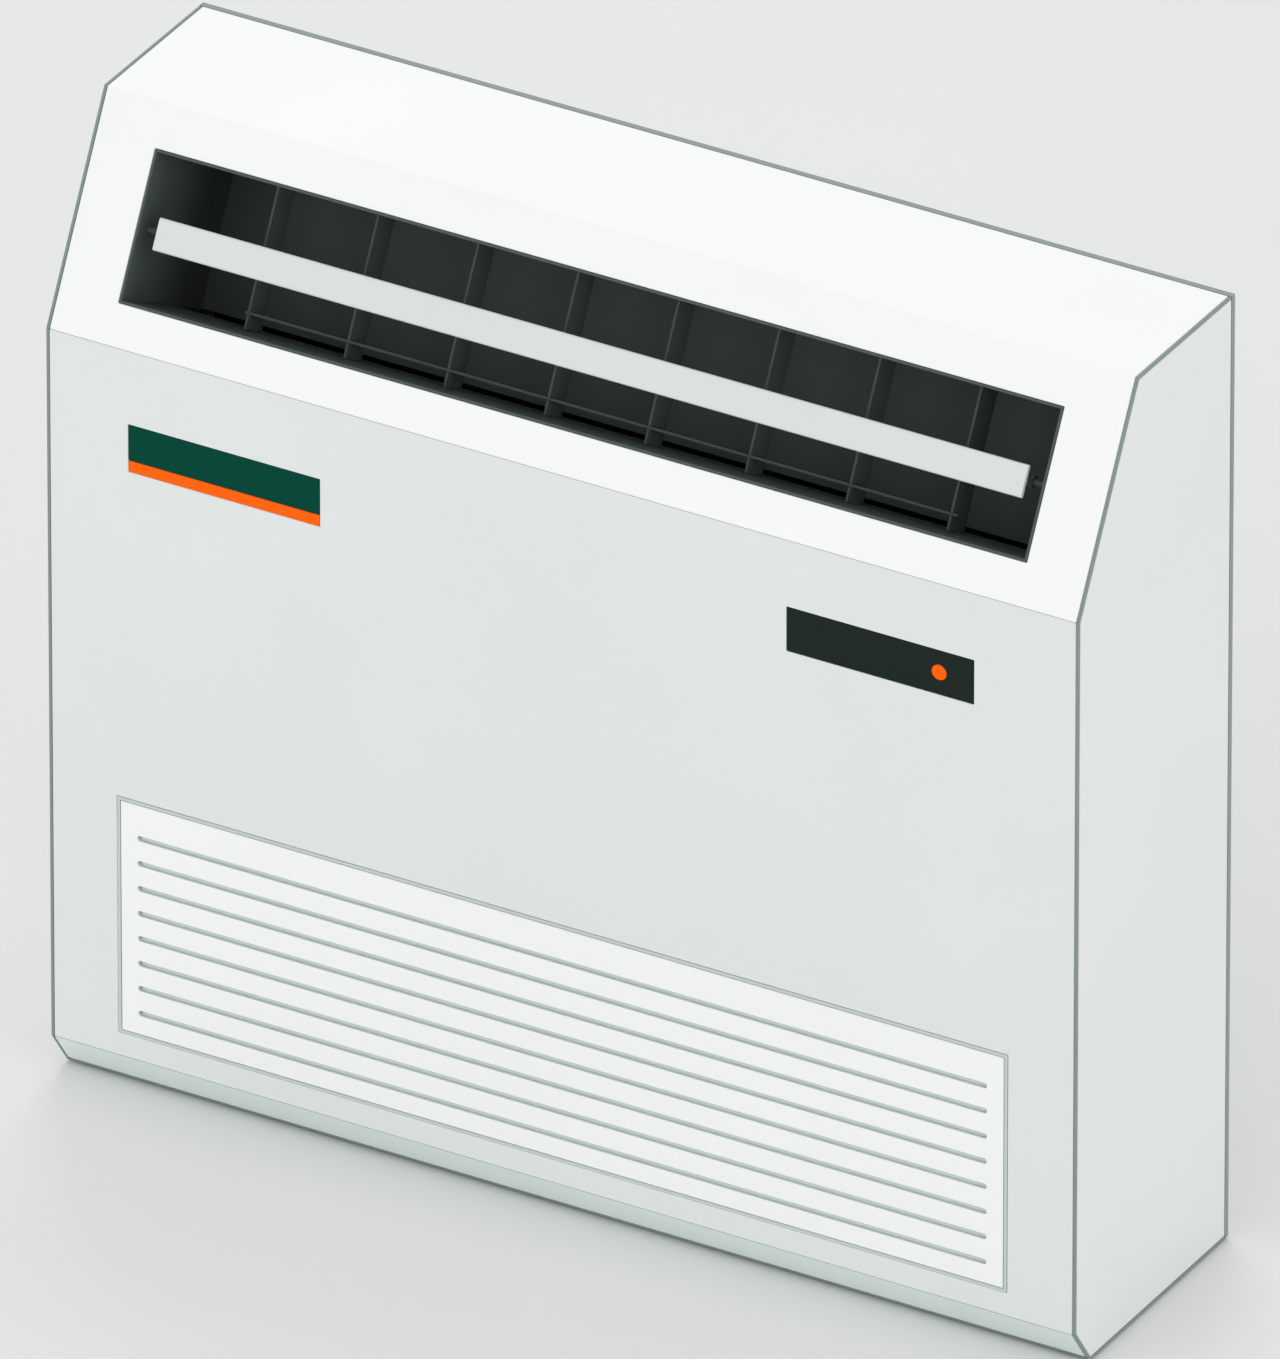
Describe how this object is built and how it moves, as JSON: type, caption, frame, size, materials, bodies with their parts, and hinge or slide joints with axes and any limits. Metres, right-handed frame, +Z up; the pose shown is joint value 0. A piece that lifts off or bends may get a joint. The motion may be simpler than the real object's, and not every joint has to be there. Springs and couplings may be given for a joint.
{
  "type": "floor console air conditioner",
  "caption": "Low floor console that draws room air through a hinged lower grille, cools it over a tilted coil and blows it out of a sloping upper outlet.",
  "frame": {"origin": "centre of the footprint, on the floor under the pads", "axes": "+X to the unit's right seen from its front, -Y out of the front, +Z up"},
  "size_m": [0.72, 0.189, 0.66],
  "materials": {
    "shell_white": "satin moulded plastic",
    "front_grey": "satin moulded plastic",
    "edge_grey": "matte",
    "kick_grey": "matte",
    "trim_grey": "satin",
    "sheet_grey": "painted sheet",
    "duct_dark": "matte",
    "flap_grey": "satin",
    "badge_green": "satin",
    "badge_orange": "satin",
    "window_dark": "gloss",
    "grille_white": "satin",
    "filter_grey": "fine net",
    "fan_plastic": "matte",
    "steel": "zinc plated",
    "aluminium": "bare",
    "copper": "bare copper tube",
    "brass": "bare",
    "board_green": "lacquered board",
    "rubber": "matte",
    "foam": "closed-cell foam"
  },
  "bodies": {
    "casing": {"rear_plate": "sheet_grey", "base_pan": "edge_grey", "foot_pad_front_left": "rubber", "foot_pad_front_right": "rubber", "foot_pad_back_left": "rubber", "foot_pad_back_right": "rubber", "kick_strip": "kick_grey", "front_panel": "front_grey", "top_cover": "shell_white", "side_cover_left": "front_grey", "side_cover_right": "front_grey", "edge_trim_left": "edge_grey", "edge_trim_right": "edge_grey", "grille_frame": "trim_grey", "filter_frame": "edge_grey", "badge_plate": "badge_green", "badge_stripe": "badge_orange", "display_window": "window_dark", "display_housing": "duct_dark", "display_board": "board_green", "outlet_duct": "duct_dark", "flap_motor": "steel", "fan_deck": "steel", "fan_scroll_left": "fan_plastic", "fan_scroll_right": "fan_plastic", "fan_motor": "steel", "motor_cradle": "steel", "coil_fins": "aluminium", "coil_tube": "copper", "coil_plate_left": "steel", "coil_plate_right": "steel", "drain_pan": "fan_plastic", "gas_union": "brass", "liquid_union": "brass", "rear_insulation": "foam", "front_insulation": "foam", "control_box": "steel", "control_lid": "steel", "control_board": "board_green", "terminal_block": "fan_plastic", "motor_capacitor": "aluminium", "motor_lead": "rubber", "cable_gland": "rubber"},
    "fan_rotor": {"fan_shaft": "steel", "fan_wheel_left": "fan_plastic", "fan_wheel_right": "fan_plastic"},
    "flap": {"outlet_flap": "flap_grey"},
    "grille": {"intake_grille": "grille_white"},
    "left_filter": {"filter_left": "filter_grey"},
    "right_filter": {"filter_right": "filter_grey"},
    "button": {"power_button": "badge_orange"},
    "link": {"vane_link": "duct_dark"},
    "vane_1": {"guide_vane_1": "duct_dark"},
    "vane_2": {"guide_vane_2": "duct_dark"},
    "vane_3": {"guide_vane_3": "duct_dark"},
    "vane_4": {"guide_vane_4": "duct_dark"},
    "vane_5": {"guide_vane_5": "duct_dark"},
    "vane_6": {"guide_vane_6": "duct_dark"},
    "vane_7": {"guide_vane_7": "duct_dark"},
    "vane_8": {"guide_vane_8": "duct_dark"}
  },
  "joints": [
    {"name": "fan_spin", "type": "hinge", "parent": "casing", "child": "fan_rotor", "pos_m": [0, 0.008, 0.108], "axis": [1, 0, 0], "continuous": true},
    {"name": "flap_swing", "type": "hinge", "parent": "casing", "child": "flap", "pos_m": [0, -0.04785, 0.58362], "axis": [1, 0, 0], "range_deg": [-45, 60]},
    {"name": "grille_open", "type": "hinge", "parent": "casing", "child": "grille", "pos_m": [0, -0.09325, 0.0498], "axis": [1, 0, 0], "range_deg": [0, 80]},
    {"name": "filter_left_lift", "type": "slide", "parent": "casing", "child": "left_filter", "axis": [0, 0, 1], "range_m": [0, 0.006]},
    {"name": "filter_right_lift", "type": "slide", "parent": "casing", "child": "right_filter", "axis": [0, 0, 1], "range_m": [0, 0.006]},
    {"name": "button_press", "type": "slide", "parent": "casing", "child": "button", "axis": [0, 1, 0], "range_m": [0, 0.0012], "stiffness_N_per_m": 600},
    {"name": "vane_1_swing", "type": "hinge", "parent": "casing", "child": "vane_1", "pos_m": [-0.245, -0.04043, 0.52899], "axis": [0, 0.4655, 0.8851], "range_deg": [-30, 30]},
    {"name": "vane_2_swing", "type": "hinge", "parent": "casing", "child": "vane_2", "pos_m": [-0.175, -0.04043, 0.52899], "axis": [0, 0.4655, 0.8851], "range_deg": [-30, 30]},
    {"name": "vane_3_swing", "type": "hinge", "parent": "casing", "child": "vane_3", "pos_m": [-0.105, -0.04043, 0.52899], "axis": [0, 0.4655, 0.8851], "range_deg": [-30, 30]},
    {"name": "vane_4_swing", "type": "hinge", "parent": "casing", "child": "vane_4", "pos_m": [-0.035, -0.04043, 0.52899], "axis": [0, 0.4655, 0.8851], "range_deg": [-30, 30]},
    {"name": "vane_5_swing", "type": "hinge", "parent": "casing", "child": "vane_5", "pos_m": [0.035, -0.04043, 0.52899], "axis": [0, 0.4655, 0.8851], "range_deg": [-30, 30]},
    {"name": "vane_6_swing", "type": "hinge", "parent": "casing", "child": "vane_6", "pos_m": [0.105, -0.04043, 0.52899], "axis": [0, 0.4655, 0.8851], "range_deg": [-30, 30]},
    {"name": "vane_7_swing", "type": "hinge", "parent": "casing", "child": "vane_7", "pos_m": [0.175, -0.04043, 0.52899], "axis": [0, 0.4655, 0.8851], "range_deg": [-30, 30]},
    {"name": "vane_8_swing", "type": "hinge", "parent": "casing", "child": "vane_8", "pos_m": [0.245, -0.04043, 0.52899], "axis": [0, 0.4655, 0.8851], "range_deg": [-30, 30]},
    {"name": "link_slide", "type": "slide", "parent": "casing", "child": "link", "axis": [1, 0, 0], "range_m": [-0.00508, 0.00508]}
  ],
  "couplings": [
    {"joint": "vane_1_swing", "follows": "link_slide", "rad_per_m": 103.09},
    {"joint": "vane_2_swing", "follows": "link_slide", "rad_per_m": 103.09},
    {"joint": "vane_3_swing", "follows": "link_slide", "rad_per_m": 103.09},
    {"joint": "vane_4_swing", "follows": "link_slide", "rad_per_m": 103.09},
    {"joint": "vane_5_swing", "follows": "link_slide", "rad_per_m": 103.09},
    {"joint": "vane_6_swing", "follows": "link_slide", "rad_per_m": 103.09},
    {"joint": "vane_7_swing", "follows": "link_slide", "rad_per_m": 103.09},
    {"joint": "vane_8_swing", "follows": "link_slide", "rad_per_m": 103.09}
  ]
}
